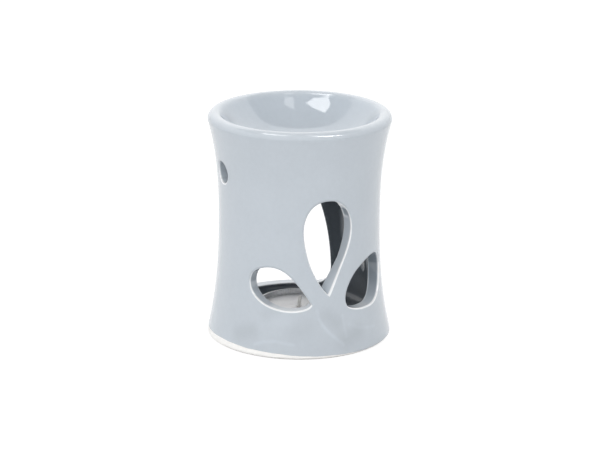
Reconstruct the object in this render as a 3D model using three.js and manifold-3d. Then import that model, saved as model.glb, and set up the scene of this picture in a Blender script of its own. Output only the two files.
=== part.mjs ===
import * as THREE from 'three';
import { mergeVertices } from 'three/addons/utils/BufferGeometryUtils.js';
import Module from 'manifold-3d';

// An aroma lamp of glazed earthenware: a waisted, hollow body that holds a tealight, with an oil dish
// luted on top. Millimetres and degrees, +Z up, origin at the centre of the foot. The cut flower faces
// -Y and the doorway for the tealight opens to +Y.

// Turned outline of the lamp
const lampHeight = 100;
const footDiameter = 81.5;
const waistDiameter = 70.7;
const rimDiameter = 80;
const waistHeight = 54.4;
const footFlare = 2.48;
const rimFlare = 2.45;
const wall = 5.2;

// Foot and floor of the body
const footRounding = 1.2;
const footRingWidth = 6;
const footRecess = 1.5;
const floorThickness = 4.7;
const floorFillet = 4;

// Oil dish and its rolled lip
const seamBelowRim = 6.6;
const lipRadius = 3.2;
const lipTurn = 50;
const dishDepth = 14;
const dishThickness = 4.5;
const undersideFullness = 2.6;
const spigotClearance = 0.4;

// Flower of three petals, cut by hand through the front wall. A petal is placed by its pointed tip,
// measured along the wall from the flower's centre line, and leans from upright about that tip. Its two
// sides differ, and its tip hooks to the right by tipHook, which fades over a share of the length.
const centralPetal = {
  tipAside: -2.3,
  tipHeight: 27.5,
  length: 41.4,
  width: 22.1,
  lean: 4.1,
  rightSide: { shoulder: 1.78, fullness: 0.51 },
  leftSide: { shoulder: 1.92, fullness: 0.38 },
  tipHook: 2,
};
const leftPetal = {
  tipAside: -8.3,
  tipHeight: 23.1,
  length: 29,
  width: 16.7,
  lean: -64.8,
  rightSide: { shoulder: 1.42, fullness: 0.64 },
  leftSide: { shoulder: 1.47, fullness: 0.36 },
  tipHook: 0.5,
};
const rightPetal = {
  tipAside: 7.2,
  tipHeight: 23.5,
  length: 29.1,
  width: 19.9,
  lean: 68.8,
  rightSide: { shoulder: 1.07, fullness: 0.68 },
  leftSide: { shoulder: 1.35, fullness: 0.29 },
  tipHook: 2.2,
};
const hookShare = 0.35;
const hookPower = 1.5;

// Doorway in the back wall and the two vents under the dish
const sillHeight = 4.3;
const doorwayHeight = 59.5;
const doorwaySideHeight = 2;
const doorwayCornerRadius = 10.5;
const doorwayClearance = 5;
const ventDiameter = 9.7;
const ventBelowRim = 23.7;
const ventAngle = 87.7;

// Tealight
const tealightDiameter = 37;
const tealightHeight = 10;
const cupWall = 0.4;
const cupTaper = 0.5;
const cupBeadRadius = 0.6;
const waxBelowRim = 2.4;
const waxShrinkage = 0.3;
const wickDiameter = 1.6;
const wickAboveWax = 5;
const tabDiameter = 10;
const tabThickness = 0.4;
const tabNeckDiameter = 3.4;
const tabNeckHeight = 3;
const wickClearance = 0.2;

// Place of the tealight: its angle from the flower, and its clearance from the fillet round the floor
const tealightBearing = -21.6;
const tealightStandOff = 1;

// Clearance between pieces that rest on each other
const restGap = 0.05;

// Facets of the turned pieces and of the cut outlines
const lampFacets = 64;
const tealightFacets = 48;
const wickFacets = 12;
const wallSteps = 13;
const dishSteps = 10;
const filletSteps = 4;
const lipSteps = 5;
const lipTurnSteps = 3;
const beadSteps = 3;
const petalSteps = 18;
const doorwayCornerSteps = 5;
const doorwayArchSteps = 26;
const ventSteps = 20;

// Sizes that follow from the ones above
const waistRadius = waistDiameter / 2;
const footRadius = footDiameter / 2;
const rimRadius = rimDiameter / 2;
const rimHeight = lampHeight - lipRadius;
const floorTop = footRecess + floorThickness;
const seatHeight = lampHeight - seamBelowRim;
const sillTop = floorTop + sillHeight;
const tealightRadius = tealightDiameter / 2;

const wasm = await Module();
wasm.setup();

const radians = THREE.MathUtils.degToRad;

/** Radius of the outer wall at a height: the waist, and a power curve from it to the foot and to the rim. */
function outerRadius(height) {
  if (height < waistHeight) {
    return waistRadius + (footRadius - waistRadius) * ((waistHeight - height) / waistHeight) ** footFlare;
  }
  return waistRadius + (rimRadius - waistRadius) * ((height - waistHeight) / (rimHeight - waistHeight)) ** rimFlare;
}

/** Radius of the chamber inside the wall at a height. */
function chamberRadius(height) {
  return outerRadius(height) - wall;
}

/** Points of an arc from one angle to another, in degrees, both ends included. */
function arc(centreX, centreY, radius, from, to, steps) {
  return Array.from({ length: steps + 1 }, (_, i) => {
    const angle = radians(from + ((to - from) * i) / steps);
    return [centreX + radius * Math.cos(angle), centreY + radius * Math.sin(angle)];
  });
}

/** Points of a wall between two heights, both ends included, with the radius given by a function. */
function wallPoints(radiusAt, from, to, steps = wallSteps) {
  return Array.from({ length: steps + 1 }, (_, i) => {
    const height = from + ((to - from) * i) / steps;
    return [radiusAt(height), height];
  });
}

/** Points of a dished surface from the axis out to an edge, rising as a power of the radius. */
function dishedPoints(bottom, edgeRadius, edgeHeight, power) {
  return Array.from({ length: dishSteps + 1 }, (_, i) => {
    const share = i / dishSteps;
    return [edgeRadius * share, bottom + (edgeHeight - bottom) * share ** power];
  });
}

/** A closed solid from a geometry: doubled vertices merged and the flat triangles on the axis dropped. */
function toSolid(geometry) {
  geometry.deleteAttribute('normal');
  geometry.deleteAttribute('uv');
  const merged = mergeVertices(geometry, 1e-5);
  const corners = merged.index.array;
  const triangles = [];
  for (let i = 0; i < corners.length; i += 3) {
    const [a, b, c] = corners.slice(i, i + 3);
    if (a !== b && b !== c && c !== a) {
      triangles.push(a, b, c);
    }
  }
  return new wasm.Manifold(
    new wasm.Mesh({
      numProp: 3,
      vertProperties: new Float32Array(merged.attributes.position.array),
      triVerts: new Uint32Array(triangles),
    }),
  );
}

/** The triangles of a solid as a geometry. */
function toGeometry(solid) {
  const mesh = solid.getMesh();
  const geometry = new THREE.BufferGeometry();
  geometry.setAttribute('position', new THREE.BufferAttribute(new Float32Array(mesh.vertProperties), 3));
  geometry.setIndex(new THREE.BufferAttribute(new Uint32Array(mesh.triVerts), 1));
  geometry.computeVertexNormals();
  return geometry;
}

/** A turned solid about +Z. Its profile of radius and height runs round the section anticlockwise. */
function turned(profile, facets) {
  const points = profile.map(([radius, height]) => new THREE.Vector2(Math.max(radius, 0), height));
  return toSolid(new THREE.LatheGeometry(points, facets).rotateX(Math.PI / 2));
}

/**
 * A cutter whose sides all point at the lamp's axis. The outline is drawn anticlockwise on the unrolled
 * wall, in millimetres along the waist and in height, and faces the given angle from the flower.
 */
function radialCutter(outline, facing = 0) {
  const angles = outline.map(([along]) => radians(facing) + along / waistRadius);
  const halfSpan = (Math.max(...angles) - Math.min(...angles)) / 2;
  const clearOfWall = Math.max(footRadius, rimRadius) + wall;
  const radii = [clearOfWall / Math.cos(halfSpan), clearOfWall, waistRadius - 2 * wall, wall];
  const count = outline.length;
  const positions = radii.flatMap((radius) =>
    outline.flatMap(([, height], i) => [radius * Math.sin(angles[i]), -radius * Math.cos(angles[i]), height]),
  );
  const contour = outline.map(([along, height]) => new THREE.Vector2(along, height));
  const cap = THREE.ShapeUtils.triangulateShape(contour, []);
  const innerRing = (radii.length - 1) * count;
  const triangles = cap.flatMap(([a, b, c]) => [a, b, c, innerRing + a, innerRing + c, innerRing + b]);
  for (let ring = 0; ring < radii.length - 1; ring += 1) {
    for (let i = 0; i < count; i += 1) {
      const next = (i + 1) % count;
      const [outerHere, outerNext] = [ring * count + i, ring * count + next];
      const [innerHere, innerNext] = [outerHere + count, outerNext + count];
      triangles.push(outerHere, innerHere, innerNext, outerHere, innerNext, outerNext);
    }
  }
  const geometry = new THREE.BufferGeometry();
  geometry.setAttribute('position', new THREE.Float32BufferAttribute(positions, 3));
  geometry.setIndex(triangles);
  return toSolid(geometry);
}

/**
 * Outline of a petal on the unrolled wall. Half the width of a side at a share s of the length is
 * sin(pi * s^shoulder)^fullness of its largest, so the tip is pointed and the far end is round. The hook
 * moves both sides by tipHook * (1 - s / hookShare)^hookPower near the tip.
 */
function petalOutline({ tipAside, tipHeight, length, width, lean, rightSide, leftSide, tipHook }) {
  const shares = Array.from({ length: petalSteps + 1 }, (_, i) => (1 - Math.cos((Math.PI * i) / petalSteps)) / 2);
  const halfWidthAt = (share, { shoulder, fullness }) =>
    (width / 2) * Math.max(Math.sin(Math.PI * share ** shoulder), 0) ** fullness;
  const hookAt = (share) => tipHook * Math.max(1 - share / hookShare, 0) ** hookPower;
  const inner = shares.slice(1, -1);
  const points = [
    [hookAt(0), 0],
    ...inner.map((share) => [hookAt(share) + halfWidthAt(share, rightSide), share * length]),
    [0, length],
    ...inner.reverse().map((share) => [hookAt(share) - halfWidthAt(share, leftSide), share * length]),
  ];
  const [cos, sin] = [Math.cos(radians(lean)), Math.sin(radians(lean))];
  return points.map(([across, along]) => [
    tipAside + along * sin + across * cos,
    tipHeight + along * cos - across * sin,
  ]);
}

/** Outline of the doorway: a sill with round corners, short upright sides and half an ellipse over them. */
function doorwayOutline() {
  const springing = sillTop + doorwayCornerRadius + doorwaySideHeight;
  const archRise = sillTop + doorwayHeight - springing;
  const passage = tealightRadius + doorwayClearance;
  const halfWidth = Math.asin(passage / chamberRadius(springing)) * waistRadius;
  const cornerAside = halfWidth - doorwayCornerRadius;
  const cornerHeight = sillTop + doorwayCornerRadius;
  const arch = arc(0, 0, 1, 0, 180, doorwayArchSteps).map(([x, y]) => [x * halfWidth, springing + y * archRise]);
  return [
    ...arc(-cornerAside, cornerHeight, doorwayCornerRadius, 180, 270, doorwayCornerSteps),
    ...arc(cornerAside, cornerHeight, doorwayCornerRadius, 270, 360, doorwayCornerSteps),
    ...arch,
  ];
}

/** Outline of a vent: a round hole. */
function ventOutline() {
  return arc(0, lampHeight - ventBelowRim, ventDiameter / 2, 0, 360, ventSteps).slice(0, -1);
}

/** Cup-shaped body: foot ring, floor and waisted wall, with the flower, doorway and vents cut through. */
function makeLampBody() {
  const filletTop = floorTop + floorFillet;
  const footEdge = outerRadius(footRounding) - footRounding;
  const profile = [
    [0, footRecess],
    [footRadius - footRingWidth - footRecess, footRecess],
    [footRadius - footRingWidth, 0],
    ...arc(footEdge, footRounding, footRounding, -90, 0, filletSteps),
    ...wallPoints(outerRadius, footRounding, seatHeight).slice(1),
    ...wallPoints(chamberRadius, seatHeight, filletTop),
    ...arc(chamberRadius(filletTop) - floorFillet, filletTop, floorFillet, 0, -90, filletSteps).slice(1),
    [0, floorTop],
  ];
  const cutters = [
    ...[centralPetal, leftPetal, rightPetal].map((petal) => radialCutter(petalOutline(petal))),
    radialCutter(doorwayOutline(), 180),
    radialCutter(ventOutline(), ventAngle),
    radialCutter(ventOutline(), -ventAngle),
  ];
  return cutters.reduce((body, cutter) => body.subtract(cutter), turned(profile, lampFacets));
}

/** Oil dish: a bowl with a rolled lip, whose underside drops as a spigot inside the body's wall. */
function makeOilDish() {
  const seat = seatHeight + restGap;
  const crestRadius = rimRadius - lipRadius;
  const lip = [
    ...arc(crestRadius, rimHeight, lipRadius, 0, 90, lipSteps),
    ...arc(crestRadius, rimHeight, lipRadius, 90, 90 + lipTurn, lipTurnSteps).slice(1),
  ];
  const [bowlEdge, bowlEdgeHeight] = lip[lip.length - 1];
  const bowlBottom = lampHeight - dishDepth;
  const bowlPower = (Math.tan(radians(lipTurn)) * bowlEdge) / (bowlEdgeHeight - bowlBottom);
  const bowl = dishedPoints(bowlBottom, bowlEdge, bowlEdgeHeight, bowlPower);
  const spigotRadius = chamberRadius(seat) - spigotClearance;
  const underside = dishedPoints(bowlBottom - dishThickness, spigotRadius, seat, undersideFullness);
  const profile = [
    ...underside,
    ...wallPoints(outerRadius, seat, rimHeight, lipTurnSteps),
    ...lip.slice(1),
    ...bowl.reverse().slice(1),
  ];
  return turned(profile, lampFacets);
}

const cupInnerTop = tealightRadius - 2 * cupBeadRadius;
const cupBeadHeight = tealightHeight - cupBeadRadius;
const waxTop = tealightHeight - waxBelowRim;
const tabBottom = cupWall + restGap;
const tabTop = tabBottom + tabThickness;

/** Inner radius of the tapered cup at a height above its bottom. */
function cupInnerRadius(height) {
  return cupInnerTop - cupTaper * (1 - height / cupBeadHeight);
}

/** Tealight cup of thin sheet: flat bottom, tapered side and a bead rolled outwards. */
function makeTealightCup() {
  const beadRadius = cupInnerTop + cupBeadRadius;
  const profile = [
    [0, 0],
    [cupInnerRadius(0) + cupWall, 0],
    ...arc(beadRadius, cupBeadHeight, cupBeadRadius, -100, 0, beadSteps),
    ...arc(beadRadius, cupBeadHeight, cupBeadRadius, 0, 180, 2 * beadSteps).slice(1),
    [cupInnerRadius(cupWall), cupWall],
    [0, cupWall],
  ];
  return turned(profile, tealightFacets);
}

/** Wax that fills the cup round the tab and the wick. */
function makeTealightWax() {
  const tabHole = tabDiameter / 2 + waxShrinkage;
  const neckHole = tabNeckDiameter / 2 + waxShrinkage;
  const wickHole = wickDiameter / 2 + waxShrinkage;
  const overTab = tabTop + waxShrinkage;
  const overNeck = tabTop + tabNeckHeight + waxShrinkage;
  const bottom = cupWall + restGap;
  const profile = [
    [tabHole, bottom],
    [cupInnerRadius(bottom) - waxShrinkage, bottom],
    [cupInnerRadius(waxTop) - waxShrinkage, waxTop],
    [wickHole, waxTop],
    [wickHole, overNeck],
    [neckHole, overNeck],
    [neckHole, overTab],
    [tabHole, overTab],
    [tabHole, bottom],
  ];
  return turned(profile, tealightFacets);
}

/** Wick tab: a round plate on the cup's bottom with a neck that holds the wick. */
function makeWickTab() {
  const neckTop = tabTop + tabNeckHeight;
  const bore = wickDiameter / 2 + wickClearance;
  const profile = [
    [0, tabBottom],
    [tabDiameter / 2, tabBottom],
    [tabDiameter / 2, tabTop],
    [tabNeckDiameter / 2, tabTop],
    [tabNeckDiameter / 2, neckTop],
    [bore, neckTop],
    [bore, tabTop],
    [0, tabTop],
  ];
  return turned(profile, wickFacets * 2);
}

/** Wick: a round cord that stands on the tab's plate. */
function makeWick() {
  const bottom = tabTop + restGap;
  const top = waxTop + wickAboveWax;
  const profile = [
    [0, bottom],
    [wickDiameter / 2, bottom],
    [wickDiameter / 2, top],
    [0, top],
  ];
  return turned(profile, wickFacets);
}

/** A named mesh of a solid in its material. */
function piece(name, solid, material) {
  const mesh = new THREE.Mesh(toGeometry(solid), material);
  mesh.name = name;
  return mesh;
}

const glaze = () => new THREE.MeshStandardMaterial({ color: 0xc5ccd2, roughness: 0.18, metalness: 0 });
const aluminium = new THREE.MeshStandardMaterial({ color: 0xc9cbcd, roughness: 0.3, metalness: 1 });
const wax = new THREE.MeshStandardMaterial({ color: 0xf0eee8, roughness: 0.5, metalness: 0 });
const cotton = new THREE.MeshStandardMaterial({ color: 0xece6d8, roughness: 0.9, metalness: 0 });
const tinplate = new THREE.MeshStandardMaterial({ color: 0xb0b2b4, roughness: 0.35, metalness: 1 });

// The tealight stands on the floor, pushed forward as far as the fillet round the floor lets it go
const floorRadius = chamberRadius(floorTop + floorFillet) - floorFillet;
const tealightReach = floorRadius - tealightRadius - tealightStandOff;
const tealightAngle = radians(tealightBearing);
const tealight = new THREE.Group();
tealight.position.set(
  tealightReach * Math.sin(tealightAngle),
  -tealightReach * Math.cos(tealightAngle),
  floorTop + restGap,
);
tealight.add(
  piece('tealight_cup', makeTealightCup(), aluminium),
  piece('tealight_wax', makeTealightWax(), wax),
  piece('wick_tab', makeWickTab(), tinplate),
  piece('wick', makeWick(), cotton),
);

const aromaLamp = new THREE.Group();
aromaLamp.add(piece('lamp_body', makeLampBody(), glaze()), piece('oil_dish', makeOilDish(), glaze()), tealight);

export default aromaLamp;
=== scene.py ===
"""Looks of an aroma lamp: a waisted body with a cut flower, an oil dish and the tealight inside.

Shapes are worked out in millimetres, +Z up, with the flower towards -Y and the doorway towards +Y,
and become metres in the meshes. Angles round the lamp start at the flower and grow towards +X.
"""

import sys

import logging
import math
from dataclasses import dataclass, field
from enum import IntEnum
from functools import reduce

import bmesh
import bpy
import numpy as np
from mathutils import Euler, Matrix, Vector
from mathutils.geometry import delaunay_2d_cdt


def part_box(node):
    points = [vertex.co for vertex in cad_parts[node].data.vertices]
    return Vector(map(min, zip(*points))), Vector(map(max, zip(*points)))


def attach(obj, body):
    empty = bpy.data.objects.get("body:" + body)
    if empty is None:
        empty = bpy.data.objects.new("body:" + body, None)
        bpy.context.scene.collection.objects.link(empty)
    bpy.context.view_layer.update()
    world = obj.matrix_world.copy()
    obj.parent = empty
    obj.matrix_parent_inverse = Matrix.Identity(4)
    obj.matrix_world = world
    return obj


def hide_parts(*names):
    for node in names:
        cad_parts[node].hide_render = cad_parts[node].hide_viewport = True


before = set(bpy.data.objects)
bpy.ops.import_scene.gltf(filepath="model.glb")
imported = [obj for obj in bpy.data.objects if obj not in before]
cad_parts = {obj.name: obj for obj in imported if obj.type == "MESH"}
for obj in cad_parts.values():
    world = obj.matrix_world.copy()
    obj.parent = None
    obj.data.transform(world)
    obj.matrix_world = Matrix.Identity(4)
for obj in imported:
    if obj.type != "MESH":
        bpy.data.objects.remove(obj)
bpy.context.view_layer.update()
MM = 0.001
TURN = 2 * math.pi
WELD = 2e-6
THIN = "thin_glaze_and_painted_light"
WHITE = (1.0, 1.0, 1.0, 1.0)
log = logging.getLogger("aroma_lamp")

Array = np.ndarray
Pair = tuple[float, float]
Colour = tuple[float, float, float]
Socket = bpy.types.NodeSocket
Material = bpy.types.Material


# Shapes


class Coat(IntEnum):
    """Which of a piece's finishes a face has."""

    GLAZE = 0
    CLAY = 1
    # The chamber's finish is the glaze darkened as painted shade.
    CHAMBER = 2


@dataclass
class Patch:
    """A stretch of surface: points (n, 3) in mm, faces by point number, and the finish of its faces.

    thin is how thin the glaze lies at each point, from 0 on plain walls to 1 on a rounded edge, and down
    to -1 where it hangs in a thick roll. It also holds painted light above 0, and painted shade and painted
    dark reflections below 0. On bare clay, below 0 means a painted contact shadow.
    """

    points: Array
    faces: Array
    thin: Array
    coat: Coat = Coat.GLAZE


def pairs(first: Array | float, second: Array | float) -> Array:
    """Points (n, 2) from their two coordinates, of which one may be a single number."""
    return np.stack(np.broadcast_arrays(first, second), -1)


def place(angle: Array, radius: Array, height: Array) -> Array:
    """Points (..., 3) at angles in radians, and mm: x = r sin(angle), y = -r cos(angle), z = height."""
    angle, radius, height = np.broadcast_arrays(angle, radius, height)
    return np.stack([radius * np.sin(angle), -radius * np.cos(angle), height], -1)


def turned(angle: Array, profile: Array) -> Array:
    """Points (n, m, 3) of a profile (n, 2) of radius and height that is carried round the axis."""
    return place(angle, profile[:, :1], profile[:, 1:])


def around(count: int, start: float = 0.0) -> Array:
    """One row (1, count) of even angles of a whole turn, in radians, from a start in degrees."""
    return (math.radians(start) + np.arange(count) * TURN / count)[None, :]


def arc(centre: Pair, radius: float, start: float, end: float, steps: int) -> Array:
    """Points (steps + 1, 2) of an arc between two angles in degrees, both ends included."""
    turn = np.radians(np.linspace(start, end, steps + 1))
    return pairs(centre[0] + radius * np.cos(turn), centre[1] + radius * np.sin(turn))


def bell(value: Array, centre: float, width: float) -> Array:
    """A bell curve: 1 at its centre, and exp(-1) a width away from it."""
    return np.exp(-(((value - centre) / width) ** 2))


def rising(value: Array, middle: Array | float, softness: float) -> Array:
    """An S-curve from 0 to 1 that is half-way at its middle; it falls where the softness is below 0."""
    return 1 / (1 + np.exp((middle - value) / softness))


@dataclass(frozen=True)
class Band:
    """A soft band of glaze or of relief: its strength, and the middle and the width of its bell curve."""

    strength: float
    middle: float
    width: float

    def at(self, value: Array) -> Array:
        """How strong the band is at a value."""
        return self.strength * bell(value, self.middle, self.width)


def grid_faces(rows: int, columns: int) -> Array:
    """Four-cornered faces between the rows of a grid of points whose last column joins the first.

    Args:
        rows: number of rows.
        columns: points in a row.
    Returns:
        Faces (m, 4) by point number, row by row.
    """
    start = np.arange(columns)
    step = columns * np.arange(rows - 1)[:, None]
    here, after = start + step, (start + 1) % columns + step
    return np.stack([here, after, after + columns, here + columns], -1).reshape(-1, 4)


def swept(rows: Array, thin: Array | float = 0.0, coat: Coat = Coat.GLAZE) -> Patch:
    """A patch from a grid of points (rows, columns, 3) in mm whose columns close round."""
    thin = np.broadcast_to(thin, rows.shape[:2]).reshape(-1)
    return Patch(rows.reshape(-1, 3), grid_faces(*rows.shape[:2]), thin, coat)


def way_along(line: Array) -> Array:
    """The way travelled at each point of a line (n, 2), from 0 at its start."""
    return np.concatenate([[0], np.cumsum(np.hypot(*np.diff(line, axis=0).T))])


def evenly(points: Array, closed: bool, spacing: float) -> Array:
    """Points of a line at even steps along its length.

    Args:
        points: a dense line (n, 2).
        closed: whether the last point joins the first.
        spacing: the step wished for, mm.
    Returns:
        The new points; an open line keeps both its ends.
    """
    line = np.vstack([points, points[:1]]) if closed else points
    travelled = way_along(line)
    count = int(round(travelled[-1] / spacing))
    at = np.linspace(0, travelled[-1], count, endpoint=not closed)
    return pairs(np.interp(at, travelled, line[:, 0]), np.interp(at, travelled, line[:, 1]))


def inside(points: Array, outline: Array) -> Array:
    """Which points lie in a closed outline: a ray from each crosses its sides an odd number of times.

    Args:
        points: the points (n, 2).
        outline: corners (m, 2) in order.
    Returns:
        Whether each point is inside (n,).
    """
    x, y = points[:, :1], points[:, 1:]
    (x0, y0), (x1, y1) = outline.T, np.roll(outline, -1, 0).T
    spans = (y0 > y) != (y1 > y)
    rise = np.where(y1 == y0, 1, y1 - y0)
    return (spans & (x < x0 + (y - y0) * (x1 - x0) / rise)).sum(1) % 2 == 1


def gap_to(points: Array, others: Array) -> Array:
    """Distance in mm from each point to the nearest of some others."""
    return np.sqrt(((points[:, None, :] - others[None, :, :]) ** 2).sum(-1).min(1))


def build(
    name: str, patches: list[Patch], finishes: list[Material], sharp: float = 38.0
) -> bpy.types.Object:
    """Joins patches into one closed object.

    Args:
        name: name of the piece.
        patches: its surface; the edges of neighbours coincide and are welded.
        finishes: materials, numbered as the patches' coats are.
        sharp: angle in degrees between two faces above which their edge is shaded crisp.
    Returns:
        The new object, at the origin, in metres.
    """
    starts = np.cumsum([0] + [len(p.points) for p in patches[:-1]])
    mesh = bpy.data.meshes.new(name)
    points = np.concatenate([p.points for p in patches]) * MM
    faces = [face for p, s in zip(patches, starts) for face in (p.faces + s).tolist()]
    mesh.from_pydata(points.tolist(), [], faces)
    coats = np.concatenate([np.full(len(p.faces), int(p.coat)) for p in patches])
    mesh.polygons.foreach_set("material_index", coats)
    layer = mesh.attributes.new(THIN, "FLOAT", "POINT")
    layer.data.foreach_set("value", np.concatenate([p.thin for p in patches]).astype(np.float32))
    for finish in finishes:
        mesh.materials.append(finish)
    solid = bmesh.new()
    solid.from_mesh(mesh)
    bmesh.ops.remove_doubles(solid, verts=solid.verts, dist=WELD)
    bmesh.ops.recalc_face_normals(solid, faces=solid.faces)
    solid.to_mesh(mesh)
    solid.free()
    mesh.shade_smooth()
    mesh.set_sharp_from_angle(angle=math.radians(sharp))
    sides = np.empty(len(mesh.loops), np.int32)
    mesh.loops.foreach_get("edge_index", sides)
    open_edges = (np.bincount(sides, minlength=len(mesh.edges)) != 2).sum()
    piece = bpy.data.objects.new(name, mesh)
    bpy.context.scene.collection.objects.link(piece)
    log.info("%s: %d faces, %d open edges", name, len(mesh.polygons), open_edges)
    return piece


# Finishes


def tone(colour: Colour | Array) -> tuple[float, float, float, float]:
    """A colour given as screen values from 0 to 255, made linear for a shader."""
    share = np.array(colour) / 255
    return (*np.where(share <= 0.04045, share / 12.92, ((share + 0.055) / 1.055) ** 2.4).tolist(), 1.0)


class Sheet:
    """Adds and joins the nodes of one material or world."""

    def __init__(self, tree: bpy.types.NodeTree) -> None:
        """Starts with an empty tree."""
        self.tree = tree
        tree.nodes.clear()

    def node(self, kind: str, inputs: dict | None = None, **options) -> bpy.types.Node:
        """Adds a node.

        Args:
            kind: Blender's name of the node type, without its first word ShaderNode.
            inputs: socket name or number to a value, or to a socket that it is joined to.
            options: settings of the node itself.
        Returns:
            The node.
        """
        made = self.tree.nodes.new("ShaderNode" + kind)
        for key, value in options.items():
            setattr(made, key, value)
        for key, value in (inputs or {}).items():
            if isinstance(value, Socket):
                self.tree.links.new(value, made.inputs[key])
            else:
                made.inputs[key].default_value = value
        return made

    def join(self, operation: str, *values: Socket | float) -> Socket:
        """Joins numbers by an operation, one after the other."""
        return reduce(lambda a, b: self.node("Math", {0: a, 1: b}, operation=operation).outputs[0], values)

    def vector(self, operation: str, first: object, second: object, result: int | str = 0) -> Socket:
        """Joins two vectors by an operation; result is "Value" where that gives a number."""
        return self.node("VectorMath", {0: first, 1: second}, operation=operation).outputs[result]

    def grain(self, scale: float, detail: float, roughness: float = 0.55, along: float = 1.0) -> Socket:
        """Noise in object space.

        Args:
            scale: features per metre.
            detail: number of finer layers.
            roughness: how strong the finer layers are.
            along: below 1 it stretches the noise upwards.
        Returns:
            The noise, from 0 to 1 and mostly near 0.5.
        """
        spot = self.node("TexCoord").outputs["Object"]
        if along < 1:
            spot = self.vector("MULTIPLY", spot, (1.0, 1.0, along))
        inputs = {"Vector": spot, "Scale": scale, "Detail": detail, "Roughness": roughness}
        return self.node("TexNoise", inputs).outputs["Fac"]

    def spread(
        self, value: Socket, low: float, high: float, to_low: float = 0.0, to_high: float = 1.0, **options
    ) -> Socket:
        """Maps a value from one range to another, kept within it."""
        inputs = {"Value": value, 1: low, 2: high, 3: to_low, 4: to_high}
        return self.node("MapRange", inputs, **options).outputs["Result"]

    def contrast(self, noise: Socket, to_low: float = 0.0, to_high: float = 1.0) -> Socket:
        """Spreads the middle of a noise, where nearly all of it lies, over a range."""
        return self.spread(noise, 0.3, 0.7, to_low, to_high)

    def blend(self, share: Socket | float, first: object, second: object) -> Socket:
        """Mixes two colours by a share from 0 to 1; each is a socket, or screen values."""
        first, second = (c if isinstance(c, Socket) else tone(c) for c in (first, second))
        return self.node("Mix", {0: share, 6: first, 7: second}, data_type="RGBA").outputs[2]

    def between(self, share: Socket, first: Socket | float, second: Socket | float) -> Socket:
        """Mixes two numbers by a share from 0 to 1."""
        return self.node("Mix", {0: share, 2: first, 3: second}, data_type="FLOAT").outputs[0]

    def bump(self, height: Socket, depth: float) -> Socket:
        """A bumped normal from a height of 0 to 1 that stands for a depth in millimetres."""
        inputs = {"Strength": 1.0, "Distance": depth * MM, "Height": height}
        return self.node("Bump", inputs).outputs["Normal"]

    def glaze_and_painted_light(self) -> Socket:
        """How thin the glaze lies, with painted light and shade, which the mesh holds at its points."""
        return self.node("Attribute", attribute_name=THIN).outputs["Fac"]

    def looked(self) -> Socket:
        """1 for rays from the eye or a shiny surface, and 0 for those that only bring light."""
        kinds = ("Is Camera Ray", "Is Glossy Ray", "Is Transmission Ray")
        return self.join("MAXIMUM", *map(self.node("LightPath").outputs.get, kinds))

    def surface(
        self, colour: Socket, roughness: Socket | float, normal: Socket, more: dict | None = None
    ) -> None:
        """Ends the sheet with a plain surface; more holds its further values."""
        inputs = {"Base Color": colour, "Roughness": roughness, "Normal": normal, **(more or {})}
        self.end(self.node("BsdfPrincipled", inputs).outputs["BSDF"])

    def end(self, shader: Socket, kind: str = "OutputMaterial") -> None:
        """Joins a shader to the output."""
        self.node(kind, {"Surface": shader})


@dataclass(frozen=True)
class Finish:
    """What all finishes share: a name, and a material whose nodes the finish's shade adds."""

    name: str

    def shade(self, sheet: Sheet) -> None:
        """Adds the nodes of the finish.

        Args:
            sheet: the material's empty sheet.
        """
        raise NotImplementedError

    def material(self) -> Material:
        """Builds the material.

        Returns:
            The new material, with the finish's nodes.
        """
        material = bpy.data.materials.new(self.name)
        material.use_nodes = True
        self.shade(Sheet(material.node_tree))
        return material


@dataclass(frozen=True)
class ReflectionLine:
    """A painted reflection on the glaze: a soft light or dark line between two spots, each an angle and a
    height in mm.
    """

    start: Pair
    end: Pair
    width: float
    strength: float

    def line(self, reach: float) -> tuple[Vector, Vector]:
        """Its start, and the way from there to its end, in metres on an unrolled wall of a radius in mm."""
        start, end = (Vector((math.radians(a) * reach * MM, z * MM, 0)) for a, z in (self.start, self.end))
        return start, end - start


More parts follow.
